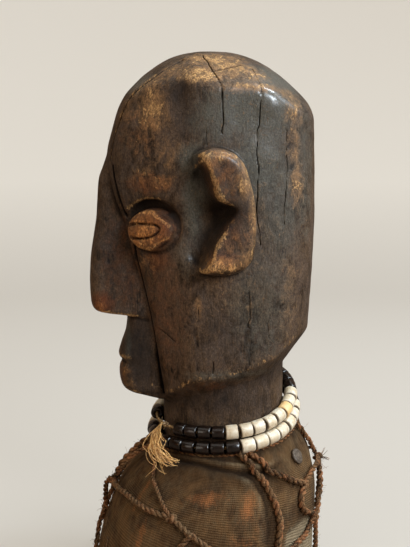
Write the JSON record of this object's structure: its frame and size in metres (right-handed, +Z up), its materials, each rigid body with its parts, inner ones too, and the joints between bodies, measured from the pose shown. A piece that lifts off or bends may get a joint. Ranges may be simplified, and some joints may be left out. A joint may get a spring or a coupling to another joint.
{
  "type": "carved power figure bust",
  "caption": "Carved wooden head and shoulders with wedge nose, slit eyes and hollowed ears, in a cloth wrap with a knotted cord net and strings of black and white beads, resting on a flat base.",
  "frame": {"origin": "on the flat underside, below the middle of the head", "axes": "+Z up, the face looks along -Y, the figure's left side is +X"},
  "size_m": [0.1312, 0.1253, 0.2694],
  "materials": {
    "wood": "dark worn patina, rubbed golden on the high edges",
    "cloth": "brown woven cloth, stained",
    "cord": "two-ply twisted cord, brown",
    "string": "straw-coloured string",
    "raffia": "golden frayed fibre",
    "black_bead": "glossy near-black",
    "white_bead": "cream, slightly worn",
    "stud": "mottled grey",
    "iron": "dark rusted iron"
  },
  "bodies": {
    "root": {"carved_figure": "wood", "cloth_wrap": "cloth", "cord_net": "cord", "bead_string_upper": "string", "bead_string_lower": "string", "bead_upper_01": "black_bead", "bead_upper_02": "black_bead", "bead_upper_03": "black_bead", "bead_upper_04": "black_bead", "bead_upper_05": "white_bead", "bead_upper_06": "white_bead", "bead_upper_07": "white_bead", "bead_upper_08": "white_bead", "bead_upper_09": "white_bead", "bead_upper_10": "white_bead", "bead_upper_11": "white_bead", "bead_upper_12": "white_bead", "bead_upper_13": "black_bead", "bead_upper_14": "black_bead", "bead_upper_15": "black_bead", "bead_upper_16": "black_bead", "beads_upper_far": "black_bead", "bead_upper_17": "black_bead", "bead_upper_18": "white_bead", "bead_upper_19": "black_bead", "bead_lower_01": "black_bead", "bead_lower_02": "black_bead", "bead_lower_03": "black_bead", "bead_lower_04": "black_bead", "bead_lower_05": "black_bead", "bead_lower_06": "black_bead", "bead_lower_07": "white_bead", "bead_lower_08": "white_bead", "bead_lower_09": "white_bead", "bead_lower_10": "white_bead", "bead_lower_11": "white_bead", "bead_lower_12": "white_bead", "bead_lower_13": "white_bead", "bead_lower_14": "black_bead", "bead_lower_15": "black_bead", "bead_lower_16": "black_bead", "bead_lower_17": "black_bead", "beads_lower_far": "black_bead", "bead_lower_18": "black_bead", "bead_lower_19": "black_bead", "raffia_tuft": "raffia", "shoulder_stud": "stud", "shoulder_nail": "iron"}
  },
  "joints": []
}
